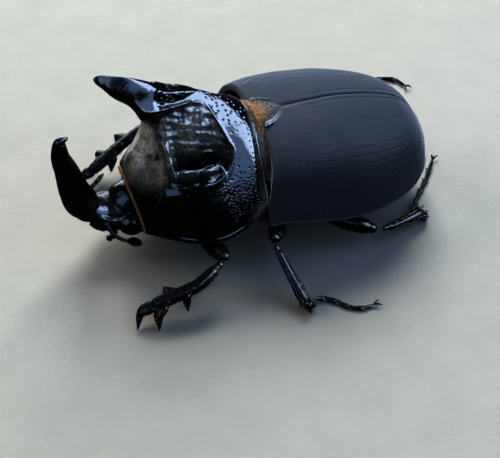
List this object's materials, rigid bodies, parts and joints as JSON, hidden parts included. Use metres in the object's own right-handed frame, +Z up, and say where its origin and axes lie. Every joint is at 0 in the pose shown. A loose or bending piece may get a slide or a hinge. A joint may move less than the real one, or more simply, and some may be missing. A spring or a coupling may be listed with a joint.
{
  "type": "rhinoceros beetle figure",
  "caption": "Life-size still model of a male rhinoceros beetle standing on a floor, with a hooked head horn, a horned thorax hollowed on each side, domed wing cases and splayed legs.",
  "frame": {"origin": "middle of the bounding box's bottom, on the ground", "axes": "-Y where the beetle looks, +X its left side, +Z up"},
  "size_m": [0.0472, 0.061, 0.029],
  "materials": {
    "shell_black": "glossy black insect shell",
    "wing_case": "dull charcoal, velvety insect shell",
    "underside": "dark reddish brown insect shell",
    "limb_black": "glossy black insect shell",
    "eye": "glossy black"
  },
  "bodies": {
    "root": {"abdomen": "underside", "antenna_left": "limb_black", "antenna_right": "limb_black", "elytron_left": "wing_case", "elytron_right": "wing_case", "eye_left": "eye", "eye_right": "eye", "femur_fore_left": "limb_black", "femur_fore_right": "limb_black", "femur_hind_left": "limb_black", "femur_hind_right": "limb_black", "femur_middle_left": "limb_black", "femur_middle_right": "limb_black", "head": "shell_black", "head_horn": "shell_black", "mandible_left": "limb_black", "mandible_right": "limb_black", "palp_left": "limb_black", "palp_right": "limb_black", "pronotum": "shell_black", "prosternum": "underside", "pygidium": "underside", "scutellum": "shell_black", "sternum": "underside", "tarsus_fore_left": "limb_black", "tarsus_fore_right": "limb_black", "tarsus_hind_left": "limb_black", "tarsus_hind_right": "limb_black", "tarsus_middle_left": "limb_black", "tarsus_middle_right": "limb_black", "thorax_horn": "shell_black", "tibia_fore_left": "limb_black", "tibia_fore_right": "limb_black", "tibia_hind_left": "limb_black", "tibia_hind_right": "limb_black", "tibia_middle_left": "limb_black", "tibia_middle_right": "limb_black"}
  },
  "joints": []
}
